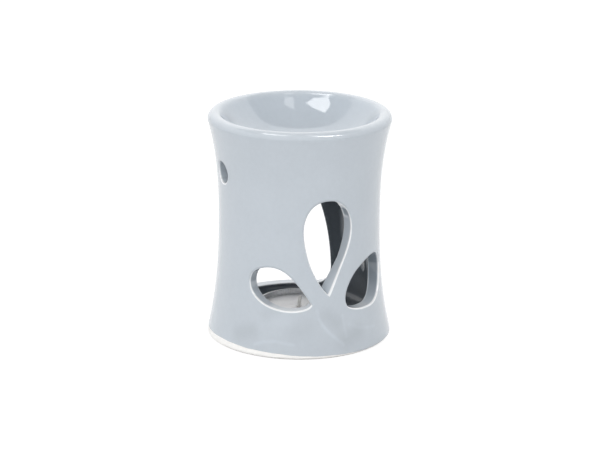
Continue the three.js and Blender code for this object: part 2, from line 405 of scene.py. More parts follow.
@dataclass(frozen=True)
class PaleGlaze(Finish):
    """Glossy pale blue-grey glaze: faintly mottled, nearly white where thin, and darker where it hangs
    and where shade is painted.

    It may have painted reflections: soft lines that are painted light reflections where their strength
    is above 0, and dark ones below.
    """

    body: Colour = (191, 199, 207)
    mottle: float = 2.5
    # Colour of thin glaze, and of the painted light on edges, sills and corners.
    edge: Colour = (250, 251, 252)
    # Colour of glaze that hangs, and of painted shade and painted dark reflections.
    hanging_and_shade: Colour = (118, 127, 136)
    reflection_lines: tuple[ReflectionLine, ...] = ()
    reach: float = 38.0
    roughness: float = 0.045
    ripple: float = 0.012
    refraction: float = 1.65

    def painted_reflections(self, sheet: Sheet) -> Socket:
        """Adds up the painted reflections at a spot of the unrolled wall.

        Args:
            sheet: the material's sheet.
        Returns:
            The strongest light painted reflection and the sum of the dark ones. Each fades as 1 -
            smoothstep with the distance to its line.
        """
        axes = sheet.node("SeparateXYZ", {0: sheet.node("TexCoord").outputs["Object"]}).outputs
        turn = sheet.join("ARCTAN2", axes["X"], sheet.join("MULTIPLY", axes["Y"], -1.0))
        across = sheet.join("MULTIPLY", turn, self.reach * MM)
        wall = sheet.node("CombineXYZ", {0: across, 1: axes["Z"]}).outputs[0]
        light, dark = 0.0, 0.0
        for reflection_line in self.reflection_lines:
            start, along = reflection_line.line(self.reach)
            away = sheet.vector("SUBTRACT", wall, start)
            share = sheet.spread(sheet.vector("DOT_PRODUCT", away, along, "Value"), 0, along.length_squared)
            foot = sheet.node("VectorMath", {0: along, "Scale": share}, operation="SCALE").outputs[0]
            gap = sheet.vector("DISTANCE", away, foot, "Value")
            fade = sheet.spread(
                gap, 0, reflection_line.width * MM, reflection_line.strength, 0, interpolation_type="SMOOTHSTEP"
            )
            if reflection_line.strength > 0:
                light = sheet.join("MAXIMUM", fade, light)
            else:
                dark = sheet.join("ADD", fade, dark)
        return sheet.join("ADD", light, dark)

    def shade(self, sheet: Sheet) -> None:
        """Lets the tone wander with a fine and a broad noise, and adds the painted reflections and the
        edges' glaze.

        Args:
            sheet: the material's empty sheet.
        """
        body = np.array(self.body)
        fine = sheet.contrast(sheet.grain(520, 4, 0.65))
        broad = sheet.spread(sheet.grain(55, 2), 0.35, 0.65)
        plain = sheet.blend(sheet.blend(0.4, fine, broad), body - self.mottle, body + self.mottle)
        # Painted reflections: the light lines lighten the glaze and the dark ones darken it.
        if self.reflection_lines:
            painted_reflections = self.painted_reflections(sheet)
            dark = sheet.blend(sheet.spread(painted_reflections, 0, -1), plain, body * 0.9)
            plain = sheet.blend(sheet.spread(painted_reflections, 0, 1), dark, body * 1.1)
        # Above 0 thin glaze and painted light, below 0 glaze that hangs and painted shade.
        thin = sheet.glaze_and_painted_light()
        uneven = sheet.contrast(sheet.grain(260, 2), 0.85)
        bright = sheet.blend(sheet.join("MULTIPLY", thin, uneven), plain, self.edge)
        colour = sheet.blend(sheet.spread(thin, 0, -1), bright, self.hanging_and_shade)
        gloss = sheet.spread(fine, 0, 1, self.roughness * 0.8, self.roughness * 1.2)
        ripple = sheet.bump(sheet.grain(150, 2, 0.4), self.ripple)
        sheet.surface(colour, gloss, ripple, {"IOR": self.refraction})


@dataclass(frozen=True)
class BareClay(Finish):
    """Fired white clay without glaze: matt, with a fine tooth, faint speckles and a painted contact shadow
    along its lower edge.
    """

    name: str = "bare_clay"
    clay: Colour = (253, 252, 250)
    # Colour of the painted contact shadow.
    contact_shadow: Colour = (128, 120, 112)
    roughness: float = 0.85
    tooth: float = 0.05

    def shade(self, sheet: Sheet) -> None:
        """Speckles the clay, and paints a contact shadow where the stored value is below 0.

        Args:
            sheet: the material's empty sheet.
        """
        clay = np.array(self.clay)
        clean = sheet.blend(sheet.contrast(sheet.grain(300, 4, 0.7)), clay - 5, clay + 2)
        colour = sheet.blend(sheet.spread(sheet.glaze_and_painted_light(), 0, -1), clean, self.contact_shadow)
        sheet.surface(colour, self.roughness, sheet.bump(sheet.grain(2400, 3, 0.7), self.tooth))


@dataclass(frozen=True)
class PressedFoil(Finish):
    """Bright drawn aluminium sheet with fine drawing marks and soft dents."""

    name: str = "pressed_foil"
    bright: Colour = (222, 223, 225)
    dull: Colour = (206, 208, 211)
    roughness: float = 0.36
    dents: float = 0.003

    def shade(self, sheet: Sheet) -> None:
        """Stretches noise along the cup's height for the marks, and adds a broad one for the dents.

        Args:
            sheet: the material's empty sheet.
        """
        marks = sheet.grain(2600, 3, 0.5, along=0.06)
        colour = sheet.blend(sheet.contrast(marks), self.dull, self.bright)
        gloss = sheet.contrast(marks, self.roughness * 0.75, self.roughness * 1.3)
        relief = sheet.bump(sheet.join("ADD", marks, sheet.grain(240, 2)), self.dents)
        sheet.surface(colour, gloss, relief, {"Metallic": 1.0})


@dataclass(frozen=True)
class Paraffin(Finish):
    """White paraffin wax: light goes a little way in, and the surface has cooled with soft ripples."""

    name: str = "paraffin"
    wax: Colour = (244, 244, 245)
    ripple: float = 0.02

    def shade(self, sheet: Sheet) -> None:
        """Clouds the wax, and ripples it with a broad and a fine noise.

        Args:
            sheet: the material's empty sheet.
        """
        wax = np.array(self.wax)
        cloud = sheet.contrast(sheet.grain(210, 4, 0.6))
        colour = sheet.blend(cloud, wax - 5, wax + 3)
        ripple = sheet.bump(sheet.join("ADD", sheet.grain(330, 3), sheet.grain(1500, 2)), self.ripple)
        depth = {
            "IOR": 1.43,
            "Subsurface Weight": 0.3,
            "Subsurface Radius": (1.0, 0.95, 0.9),
            "Subsurface Scale": 0.002,
        }
        sheet.surface(colour, sheet.spread(cloud, 0, 1, 0.14, 0.24), ripple, depth)


@dataclass(frozen=True)
class Tinplate(Finish):
    """Tinned steel sheet of the wick tab, with fine scratches."""

    name: str = "tinplate"
    bright: Colour = (204, 206, 208)
    dull: Colour = (172, 174, 177)
    scratches: float = 0.02

    def shade(self, sheet: Sheet) -> None:
        """Lets one fine noise scuff the tone, the gloss and the relief.

        Args:
            sheet: the material's empty sheet.
        """
        scuff = sheet.contrast(sheet.grain(1800, 4, 0.7))
        gloss = sheet.spread(scuff, 0, 1, 0.26, 0.4)
        relief = sheet.bump(scuff, self.scratches)
        sheet.surface(sheet.blend(scuff, self.dull, self.bright), gloss, relief, {"Metallic": 1.0})


@dataclass(frozen=True)
class WaxedCotton(Finish):
    """Braided cotton, stiff with wax."""

    name: str = "waxed_cotton"
    light: Colour = (247, 246, 243)
    dark: Colour = (232, 230, 226)
    roughness: float = 0.7
    fibres: float = 0.06

    def shade(self, sheet: Sheet) -> None:
        """Makes fibres of noise that is stretched along the wick.

        Args:
            sheet: the material's empty sheet.
        """
        fibre = sheet.grain(6000, 3, 0.5, along=0.25)
        colour = sheet.blend(sheet.contrast(fibre), self.dark, self.light)
        sheet.surface(colour, self.roughness, sheet.bump(fibre, self.fibres))


@dataclass(frozen=True)
class PaleFloor(Finish):
    """A floor that looks white with the lamp's shadow on it, and throws back light as a matt grey does."""

    name: str = "pale_floor"
    thrown_back: float = 0.6
    shadowed: float = 0.22
    glow: float = 0.86

    def shade(self, sheet: Sheet) -> None:
        """Adds a glow to the little that the floor shows of its light and shadow.

        Args:
            sheet: the material's empty sheet.
        """
        greys = ((grey, grey, grey, 1.0) for grey in (self.thrown_back, self.shadowed))
        matt, faint = (sheet.node("BsdfDiffuse", {"Color": grey}).outputs[0] for grey in greys)
        glow = sheet.node("Emission", {"Color": WHITE, "Strength": self.glow}).outputs[0]
        white = sheet.node("AddShader", {0: faint, 1: glow}).outputs[0]
        sheet.end(sheet.node("MixShader", {0: sheet.looked(), 1: matt, 2: white}).outputs[0])


# The body and what is cut through it


@dataclass(frozen=True)
class WallForm:
    """Turned form of the wall: a waist, and a power curve from it to the foot and to the rim."""

    foot_radius: float = 40.75
    waist_radius: float = 35.35
    rim_radius: float = 40.0
    waist_height: float = 54.4
    rim_height: float = 96.8
    foot_flare: float = 2.48
    rim_flare: float = 2.45
    thickness: float = 5.2
    seat_height: float = 93.4

    def outer(self, height: Array | float) -> Array:
        """Radius of the outer wall: waist + (end - waist) * (share of the way)^flare.

        Args:
            height: above the foot, mm.
        Returns:
            The radius at that height, mm.
        """
        below = np.clip((self.waist_height - height) / self.waist_height, 0, None)
        above = np.clip((height - self.waist_height) / (self.rim_height - self.waist_height), 0, None)
        to_foot = (self.foot_radius - self.waist_radius) * below**self.foot_flare
        return self.waist_radius + to_foot + (self.rim_radius - self.waist_radius) * above**self.rim_flare

    def chamber(self, height: Array | float) -> Array:
        """Radius of the chamber inside the wall at a height."""
        return self.outer(height) - self.thickness


@dataclass(frozen=True)
class Cut:
    """A hole through the wall, in mm on the unrolled wall.

    The outline (n, 2) runs anticlockwise and its normals point into the wall. run_off is how far each
    point has moved where the cut comes through to the chamber, and the value after it is the painted
    shade on its sides. A hole may have a facet where the knife slipped, only painted in light and shade,
    between two directions of its normals in degrees.
    """

    outline: Array
    normals: Array
    run_off: Array
    pooled: float = 0.0
    facet: Pair | None = None


def make_cut(outline: Array, run_off: Pair | None = None, **glaze) -> Cut:
    """Evens out an outline and works out its normals.

    Args:
        outline: dense anticlockwise points (n, 2); a pointed one starts and ends at its tip.
        run_off: how far the knife ran off at the tip, or None for a hole without a tip. It fades with
            the distance from the tip, and round the tip the normals turn as a fan.
        glaze: the cut's painted shade on its sides, and its facet.
    Returns:
        The cut. A normal is the line's direction turned a quarter clockwise.
    """
    spacing, fan, fade_reach = 0.42, 9, 16
    line = evenly(outline, run_off is None, spacing)
    ahead = np.roll(line, -1, 0) - np.roll(line, 1, 0) if run_off is None else np.gradient(line, axis=0)
    normals = pairs(ahead[:, 1], -ahead[:, 0])
    normals /= np.hypot(*normals.T)[:, None]
    if run_off is None:
        return Cut(line, normals, np.zeros_like(line), **glaze)
    last, first = (math.atan2(*normals[i][::-1]) for i in (-1, 0))
    turn = last + ((first - last) % TURN) * np.linspace(0, 1, fan + 2)[1:-1]
    normals = np.vstack([normals, pairs(np.cos(turn), np.sin(turn))])
    line = np.vstack([line, np.repeat(line[:1], fan, 0)])
    fade = np.clip(1 - np.hypot(*(line - line[0]).T) / fade_reach, 0, 1)[:, None]
    return Cut(line, normals, fade * run_off, **glaze)


@dataclass(frozen=True)
class PetalSide:
    """One side of a petal, as half its width: sin(pi s^shoulder)^fullness at a share s of the length."""

    shoulder: float
    fullness: float

    def half_width(self, share: Array) -> Array:
        """Share of the largest half width, exactly 0 at both ends."""
        return np.clip(np.sin(math.pi * share**self.shoulder), 0, 1) ** self.fullness * (share % 1 > 0)


@dataclass(frozen=True)
class Petal:
    """A petal of the flower, placed by its pointed tip and leaning about it, in mm and degrees.

    The tip hooks to the right by tip_hook, and near it the knife ran off as it came through the wall.
    """

    tip_aside: float
    tip_height: float
    length: float
    width: float
    lean: float
    right_side: PetalSide
    left_side: PetalSide
    tip_hook: float
    run_off: Pair = (0.0, 0.0)
    # Painted shade on the sides of the cut.
    pooled: float = 0.0
    facet: Pair | None = None

    def cut(self) -> Cut:
        """Works out the petal's hole.

        Returns:
            The hole. Its hook fades from the tip as (1 - s / 0.35)^1.5 along the length.
        """
        share = (1 - np.cos(np.linspace(0, math.pi, 600))) / 2
        hook = self.tip_hook * np.clip(1 - share / 0.35, 0, None) ** 1.5
        right = hook + self.width / 2 * self.right_side.half_width(share)
        left = hook - self.width / 2 * self.left_side.half_width(share)
        across = np.concatenate([right, left[-2::-1]])
        along = np.concatenate([share, share[-2::-1]]) * self.length
        cos, sin = math.cos(math.radians(self.lean)), math.sin(math.radians(self.lean))
        aside = self.tip_aside + along * sin + across * cos
        height = self.tip_height + along * cos - across * sin
        return make_cut(pairs(aside, height), self.run_off, pooled=self.pooled, facet=self.facet)


@dataclass(frozen=True)
class Doorway:
    """Doorway in the back: a sill with round corners, short sides and half an ellipse over them."""

    half_passage: float = 23.5
    sill: float = 10.5
    height: float = 59.5
    side: float = 2.0
    corner: float = 10.5

    def cut(self, wall: WallForm) -> Cut:
        """Works out the doorway's hole.

        Args:
            wall: the wall that it is cut through.
        Returns:
            The hole, which is as wide as the passage between the chamber's walls.
        """
        low = self.sill + self.corner
        springing = low + self.side
        half = math.asin(self.half_passage / wall.chamber(springing)) * wall.waist_radius
        arch = arc((0, 0), 1, 0, 180, 300) * [half, self.sill + self.height - springing] + [0, springing]
        left = arc((self.corner - half, low), self.corner, 180, 270, 60)
        right = arc((half - self.corner, low), self.corner, 270, 360, 60)
        return make_cut(np.vstack([left, right, arch]) - [math.pi * wall.waist_radius, 0])


@dataclass(frozen=True)
class Vent:
    """A round vent under the dish, at an angle from the flower in degrees."""

    angle: float
    radius: float = 4.85
    height: float = 76.3
    # Painted shade on the sides of the vent.
    pooled: float = 0.4

    def cut(self, wall: WallForm) -> Cut:
        """The vent's hole."""
        centre = (math.radians(self.angle) * wall.waist_radius, self.height)
        return make_cut(arc(centre, self.radius, 0, 360, 180)[:-1], pooled=self.pooled)


@dataclass(frozen=True)
class EdgeGlaze:
    """How the glaze lies round a hole, by the way along the hole's profile in mm, with painted light and
    shade.

    A light line of thin glaze lies on the outer edge. It is wider and stronger on the side toward the
    light, as painted highlight, and opposite that side a dark line is glaze that hangs together with
    painted shade.
    A fainter line lies on the edge to the chamber. Sills get painted light on their face and on that line,
    and sides get painted shade. A facet is only painted: painted shade on it, with a painted highlight on a
    corner at one end and on the edge to the chamber.
    """

    rounding: float
    inner_rounding: float
    # Direction toward the light: edges on that side get a painted highlight, those opposite painted shade.
    toward_light: Pair = (0.25, -0.97)
    line_start: float = 0.4
    line_widening: float = 0.45
    line_end: float = 0.22
    line_softness: Pair = (0.05, 0.07)
    line_strength: float = 0.95
    line_light_gain: float = 0.7
    line_least: float = 0.25
    hanging_and_shade: Band = Band(0.28, 0.1, 0.35)
    face_start: float = 0.3
    face_softness: float = 0.1
    sill_light: float = 0.3
    inner_width: float = 0.35
    inner_strength: float = 0.25
    inner_sill_light: float = 0.5
    facet_ends: Pair = (1.5, 3.0)
    facet_shade: float = 0.45
    corner_highlight: float = 0.7
    corner_reach: float = 2.0
    bevel_highlight: Band = Band(1.2, 0.9, 0.55)

    def glaze_and_painted_light(self, cut: Cut, way: Array) -> Array:
        """How thin the glaze lies along a hole's profile (rows) and outline (columns), with painted light
        and shade.

        Args:
            cut: the hole.
            way: way along the profile, mm (n, 1), 0 where the outer rounding starts.
        Returns:
            The value, from -1 to 1: thin glaze and painted light above 0, glaze that hangs and painted
            shade below.
        """
        across, up = cut.normals[None, :, 0], cut.normals[None, :, 1]
        facing = (cut.normals @ np.array(self.toward_light))[None]
        below = np.clip(-up, 0, 1)
        edge_end = self.rounding * math.pi / 2
        to_chamber = way[-1] - way
        soft_start, soft_end = self.line_softness
        line_start = self.line_start - self.line_widening * np.clip(facing, 0, 1)
        line = rising(way, line_start, soft_start) * rising(way, edge_end + self.line_end, -soft_end)
        # Painted highlight: the line is stronger on the side toward the light.
        line = line * np.clip(self.line_strength + self.line_light_gain * facing, self.line_least, 1)
        # Painted shade, with glaze that hangs, on the edges turned from the light.
        hanging_and_shade = self.hanging_and_shade.at(way) * np.clip(-facing, 0, 1)
        face = rising(way, edge_end + self.face_start, self.face_softness)
        inner = bell(to_chamber, self.inner_rounding * 0.9, self.inner_width)
        # Painted light on sills, and painted shade on the sides.
        sides = face * (1 - inner) * (self.sill_light * below**2 - cut.pooled * np.abs(across))
        glaze = line - hanging_and_shade + sides + inner * (self.inner_strength + self.inner_sill_light * below)
        # The facet is only painted: painted shade on it, and painted highlights on its corner and at the
        # chamber.
        if cut.facet:
            turn = np.degrees(np.arctan2(up, across))
            low, high = cut.facet
            soft_low, soft_high = self.facet_ends
            within = rising(turn, low, soft_low) * rising(turn, high, -soft_high)
            corner = bell(turn, low, soft_high) * np.clip((way - edge_end) / self.corner_reach, 0, 1)
            glaze = glaze - self.facet_shade * face * within + self.corner_highlight * corner * face
            glaze = glaze + self.bevel_highlight.at(to_chamber) * within
        return np.clip(glaze, -1, 1)


@dataclass
class LampBody:
    """The slip-cast body: foot, floor and waisted wall, with the flower, the doorway and the vents."""

    wall: WallForm = field(default_factory=WallForm)
    # The left and right petals' sides get painted shade; the central petal's facet is painted light and
    # shade.
    central_petal: Petal = Petal(
        -2.3, 27.5, 41.4, 22.1, 4.1, PetalSide(1.78, 0.51), PetalSide(1.92, 0.38), 2.0,
        run_off=(-3.3, 0.8), facet=(18, 58),
    )
    left_petal: Petal = Petal(
        -8.3, 23.1, 29.0, 16.7, -64.8, PetalSide(1.42, 0.64), PetalSide(1.47, 0.36), 0.5, pooled=0.32
    )
    right_petal: Petal = Petal(
        7.2, 23.5, 29.1, 19.9, 68.8, PetalSide(1.07, 0.68), PetalSide(1.35, 0.29), 2.2, pooled=1.0
    )
    doorway: Doorway = Doorway()
    vents: tuple[Vent, Vent] = (Vent(87.7), Vent(-87.7))
    band_height: float = 6.0
    foot_rounding: float = 1.2
    foot_ring_width: float = 6.0
    foot_ring_rounding: float = 0.5
    foot_recess: float = 1.5
    foot_recess_fillet: float = 0.8
    floor_top: float = 6.2
    floor_fillet: float = 3.4
    sill_gap: float = 0.15
    edge_rounding: float = 0.55
    inner_rounding: float = 0.45
    edge_margin: float = 0.8
    glaze_step: float = 0.14
    glaze_lowest: float = 0.68
    glaze_rise: float = 2.55
    glaze_highest_at: float = -78.0
    glaze_waves: tuple[tuple[float, int, float], ...] = ((0.07, 9, 1), (0.05, 23, 2), (0.03, 41, 0))
    # Height and strength of the painted contact shadow on the bare foot.
    contact_shadow_height: float = 0.42
    contact_shadow_strength: float = 1.3
    outside_spacing: float = 1.15
    chamber_spacing: float = 1.7
    columns: int = 384
    seam_angle: float = 110.0

    @property
    def chamber_foot(self) -> float:
        """Height at which the chamber's wall meets the fillet of the floor."""
        return self.floor_top + self.floor_fillet

    @property
    def foot_edge(self) -> float:
        """Radius at which the rounding of the foot meets what the lamp stands on."""
        return self.wall.outer(self.foot_rounding) - self.foot_rounding

    def cuts(self) -> list[Cut]:
        """All holes through the wall, on the wall unrolled from the seam."""
        petals = [petal.cut() for petal in (self.central_petal, self.left_petal, self.right_petal)]
        return [*petals, self.doorway.cut(self.wall), *(vent.cut(self.wall) for vent in self.vents)]

    def section(self) -> tuple[Array, Array]:
        """Profile that is carried along a hole's outline, from the outside to the chamber.

        Returns:
            Points (n, 2) of offset from the outline and depth in the wall, and the way along them (n, 1)
            from where the rounding starts, mm. The profile is a margin of plain wall, a quarter circle of
            edge_rounding, the cut face, and a quarter circle of inner_rounding.
        """
        thickness = self.wall.thickness
        margin_shares = np.array([1.0, 0.55, 0.25, 0.1])
        face_shares = np.array([0.04, 0.08, 0.14, 0.25, 0.4, 0.55, 0.7, 0.82, 0.92])
        turn = np.radians(np.linspace(0, 90, 12))
        back = turn[::-1]
        start = self.edge_rounding * pairs(1 - np.sin(turn), 1 - np.cos(turn))
        end = self.inner_rounding * pairs(1 - np.sin(back), np.cos(back) - 1) + [0, thickness]
        face = self.edge_rounding + face_shares * (thickness - self.edge_rounding - self.inner_rounding)
        margin = self.edge_rounding + self.edge_margin * margin_shares
        path = np.vstack([pairs(margin, 0.0), start, pairs(0.0, face), end])
        return path, (way_along(path) - self.edge_margin)[:, None]

    def hole_edge(self, cut: Cut) -> tuple[Patch, Array, Array]:
        """The rounded edges and the cut face of one hole.

        Args:
            cut: the hole.
        Returns:
            The patch, and the rings (n, 2) in which it meets the outer wall and the chamber, on the
            unrolled wall. No point of it comes lower than just over the floor's fillet.
        """
        path, way = self.section()
        offset, depth = path[:, :1], path[:, 1:]
        middle = cut.outline[None] + cut.run_off[None] * (depth / self.wall.thickness)[..., None]
        height = middle[..., 1] + cut.normals[None, :, 1] * offset
        height = np.maximum(height, self.chamber_foot + self.sill_gap)
        radius = self.wall.outer(height) - depth
        angle = middle[..., 0] / self.wall.waist_radius + cut.normals[None, :, 0] * offset / radius
        rings = np.stack([angle * self.wall.waist_radius, height], -1)
        glaze = EdgeGlaze(self.edge_rounding, self.inner_rounding).glaze_and_painted_light(cut, way)
        return swept(place(angle, radius, height), glaze), rings[0], rings[-1]

    def wall_sheet(self, coat: Coat, rings: list[Array], spacing: float) -> Patch:
        """One face of the wall, with the holes left out.

        Args:
            coat: the outside's glaze or the chamber's.
            rings: the holes' rings on the unrolled wall.
            spacing: distance between points on plain wall, mm.
        Returns:
            The patch. The unrolled wall is filled with triangles between an even grid and the rings,
            and each point's radius follows from its height by the wall's curve.
        """
        outside = coat is Coat.GLAZE
        low, top = self.band_height if outside else self.chamber_foot, self.wall.seat_height
        reach = self.wall.waist_radius
        end = math.radians(self.seam_angle) * reach
        start = end - TURN * reach
        across = np.linspace(start, end, self.columns + 1)
        up = np.linspace(low, top, int((top - low) / spacing))[1:-1]
        inner_across = np.linspace(start, end, int(TURN * reach / spacing))[1:-1]
        grid = np.stack(np.meshgrid(inner_across, up), -1).reshape(-1, 2)
        for ring in rings:
            grid = grid[~inside(grid, ring)]
            grid = grid[gap_to(grid, ring) > spacing * 0.6]
        borders = [pairs(across, z) for z in (low, top)] + [pairs(u, up) for u in (start, end)]
        points = np.concatenate([*rings, *borders, grid])
        firsts = np.cumsum([0] + [len(ring) for ring in rings[:-1]])
        numbers = [first + np.arange(len(ring)) for first, ring in zip(firsts, rings)]
        sides = np.vstack([pairs(row, np.roll(row, -1)) for row in numbers])
        made = delaunay_2d_cdt(points.tolist(), sides.tolist(), [], 0, 1e-7, False)
        flat, faces = np.array(made[0]), np.array(made[2])
        for ring in rings:
            faces = faces[~inside(flat[faces].mean(1), ring)]
        height = flat[:, 1]
        radius = self.wall.outer(height) if outside else self.wall.chamber(height)
        return Patch(place(flat[:, 0] / reach, radius, height), faces, np.zeros(len(flat)), coat)

    def glaze_line(self, angle: Array) -> Array:
        """Height at which the glaze was wiped off the foot.

        Args:
            angle: radians from the flower.
        Returns:
            The height, mm: a cosine cubed that is highest at one angle, with small waves. A wave has a
            height, a number round the foot and a phase.
        """
        waves = sum(height * np.sin(count * angle + phase) for height, count, phase in self.glaze_waves)
        side = (1 + np.cos(angle - math.radians(self.glaze_highest_at))) / 2
        return self.glaze_lowest + self.glaze_rise * side**3 + waves

    def foot_radius_at(self, height: Array) -> Array:
        """Radius of the foot, with its lower edge rounded by a quarter circle.

        Args:
            height: above what the lamp stands on, mm.
        Returns:
            The radius at that height, mm.
        """
        drop = np.clip(self.foot_rounding - height, 0, self.foot_rounding)
        rounded = self.foot_edge + np.sqrt(self.foot_rounding**2 - drop**2)
        return np.where(height < self.foot_rounding, rounded, self.wall.outer(height))

    def foot(self) -> list[Patch]:
        """The lowest part of the body.

        Returns:
            The band of the wall that is glazed down to the wiped line, and the bare clay ring and base.
        """
        angle = around(self.columns, self.seam_angle)
        line = self.glaze_line(angle)
        step_height = 0.45
        share = np.linspace(1, 0, 9)[:-1, None]
        upper = line + step_height + (self.band_height - line - step_height) * share
        rise = np.array([0.3, 0.2, 0.12, 0.06, 0.02, 0.0])[:, None]
        plain = np.zeros(len(share))
        set_back = np.concatenate([plain, [0.004, 0.015, 0.035, 0.065, 0.1, self.glaze_step]])[:, None]
        thin = np.concatenate([plain, [0, 0, 0.05, 0.15, 0.35, 0.6]])[:, None]
        heights = np.vstack([upper, line + rise])
        glazed = place(angle, self.foot_radius_at(heights) - set_back, heights)
        bare_height = line * (1 - np.sin(np.radians(np.linspace(0, 90, 20))))[:, None]
        bare = place(angle, self.foot_radius_at(bare_height) - self.glaze_step, bare_height)
        # Painted contact shadow along the lowest edge of the foot.
        contact_shadowed = -np.clip(self.contact_shadow_strength - bare_height / self.contact_shadow_height, 0, 1)
        bottom_edge = self.foot_edge - self.glaze_step
        ring_inside = self.wall.foot_radius - self.foot_ring_width
        rounding, recess, fillet = self.foot_ring_rounding, self.foot_recess, self.foot_recess_fillet
        base = np.vstack(
            [
                [[bottom_edge, 0], [bottom_edge - 1.5, 0], [ring_inside + 1, 0]],
                arc((ring_inside + rounding, rounding), rounding, 270, 180, 5),
                arc((ring_inside - fillet, recess - fillet), fillet, 0, 90, 6),
                pairs(np.linspace(ring_inside - 3, 0, 12), recess),
            ]
        )
        clay = Coat.CLAY
        return [swept(glazed, thin), swept(bare, contact_shadowed, clay), swept(turned(angle, base), coat=clay)]

    def chamber_floor(self) -> Patch:
        """Floor of the chamber.

        Returns:
            The floor with its fillet, a quarter circle up to the wall.
        """
        corner = self.wall.chamber(self.chamber_foot) - self.floor_fillet
        fillet = arc((corner, self.chamber_foot), self.floor_fillet, 0, -90, 9)
        profile = np.vstack([fillet, pairs(np.linspace(corner, 0, 16)[1:], self.floor_top)])
        return swept(turned(around(self.columns, self.seam_angle), profile), coat=Coat.CHAMBER)

    def seat(self) -> Patch:
        """Flat top of the wall, on which the dish stands."""
        radii = np.array([radius(self.wall.seat_height) for radius in (self.wall.outer, self.wall.chamber)])
        return swept(turned(around(self.columns, self.seam_angle), pairs(radii, self.wall.seat_height)))

    def make(self, glaze: Material, clay: Material, shaded_chamber_glaze: Material) -> None:
        """Builds the body in place of its CAD node.

        Args:
            glaze: finish of the outside and of the cut faces.
            clay: finish of the bare foot.
            shaded_chamber_glaze: finish of the chamber's wall and floor.
        """
        edges, outer_rings, inner_rings = zip(*(self.hole_edge(cut) for cut in self.cuts()))
        outside = self.wall_sheet(Coat.GLAZE, outer_rings, self.outside_spacing)
        chamber = self.wall_sheet(Coat.CHAMBER, inner_rings, self.chamber_spacing)
        patches = [outside, chamber, *edges, *self.foot(), self.chamber_floor(), self.seat()]
        body = build("lamp_body_glazed", patches, [glaze, clay, shaded_chamber_glaze])
        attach(body, "lamp")
        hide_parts("lamp_body")


@dataclass
class OilDish:
    """The bowl for scented oil, with a rolled lip outside and a spigot inside the body's wall.

    Dark reflections are painted inside the lip at two angles from the flower, each and their spread in
    degrees. Each is a band of the radius on the first points of the section, down to a height. The glaze
    is thin on the lip, and a faint dark reflection is painted at the lip's seam, by the angle round the
    lip.
    """

    wall: WallForm = field(default_factory=WallForm)
    height: float = 100.0
    lip_radius: float = 3.2
    lip_turn: float = 50.0
    depth: float = 14.0
    thickness: float = 4.5
    underside_fullness: float = 2.6
    spigot_clearance: float = 0.4
    dark_reflections: Pair = (-119.5, 75.0)
    dark_reflection_spread: float = 8.0
    pool: Band = Band(0.3, 31.4, 2.4)
    dark_reflection_lowest: float = 90.0
    dark_reflection_points: int = 90
    lip_thin: Band = Band(0.28, 88.0, 46.0)
    lip_dark_reflection: Band = Band(0.1, 4.0, 5.0)
    columns: int = 384

    def profile(self) -> tuple[Array, Array, Array]:
        """Section of the dish from the middle of the bowl over the lip and under to the middle again.

        Returns:
            Points (n, 2) of radius and height, how thin the glaze lies along them, and how much of that is
            taken away by painted dark reflections. The bowl rises as a power of the radius that meets the
            lip's arc without a corner.
        """
        crest, bend = self.wall.rim_radius - self.lip_radius, self.height - self.lip_radius
        lip_start = 90 + self.lip_turn
        lip = arc((crest, bend), self.lip_radius, lip_start, 0, 36)
        edge, edge_height = lip[0]
        bottom = self.height - self.depth
        power = math.tan(math.radians(self.lip_turn)) * edge / (edge_height - bottom)
        share = np.linspace(0, 1, 46)[:-1]
        bowl = pairs(share * edge, bottom + (edge_height - bottom) * share**power)
        seat = self.wall.seat_height
        down = np.linspace(bend, seat, 6)[1:]
        collar = pairs(self.wall.outer(down), down)
        spigot = self.wall.chamber(seat) - self.spigot_clearance
        fall = np.linspace(1, 0, 24)
        under = bottom - self.thickness
        below = pairs(fall * spigot, under + (seat - under) * fall**self.underside_fullness)
        lean = np.linspace(lip_start, 0, len(lip))
        # A faint painted dark reflection at the lip's seam.
        on_lip = self.lip_thin.at(lean) - self.lip_dark_reflection.at(lean)
        rest = np.zeros(len(collar) + len(below))
        thin = np.concatenate([np.zeros(len(bowl)), on_lip, rest])
        points = np.vstack([bowl, lip, collar, below])
        # Painted dark reflections inside the lip, on the first points of the section.
        pooled = self.pool.at(points[:, 0]) * (points[:, 1] > self.dark_reflection_lowest)
        pooled[self.dark_reflection_points :] = 0
        return points, thin, pooled

    def make(self, glaze: Material) -> None:
        """Builds the dish in place of its CAD node.

        Args:
            glaze: finish of the whole dish.
        """
        profile, thin, pool = self.profile()
        angle = around(self.columns)
        apart = [(np.degrees(angle) - at + 180) % 360 - 180 for at in self.dark_reflections]
        # Strength of the painted dark reflections round the dish, at their angles.
        dark_reflections = sum(bell(gap, 0, self.dark_reflection_spread) for gap in apart)
        surface = swept(turned(angle, profile), thin[:, None] - pool[:, None] * dark_reflections)
        dish = build("oil_dish_glazed", [surface], [glaze], sharp=50)
        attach(dish, "lamp")
        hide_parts("oil_dish")


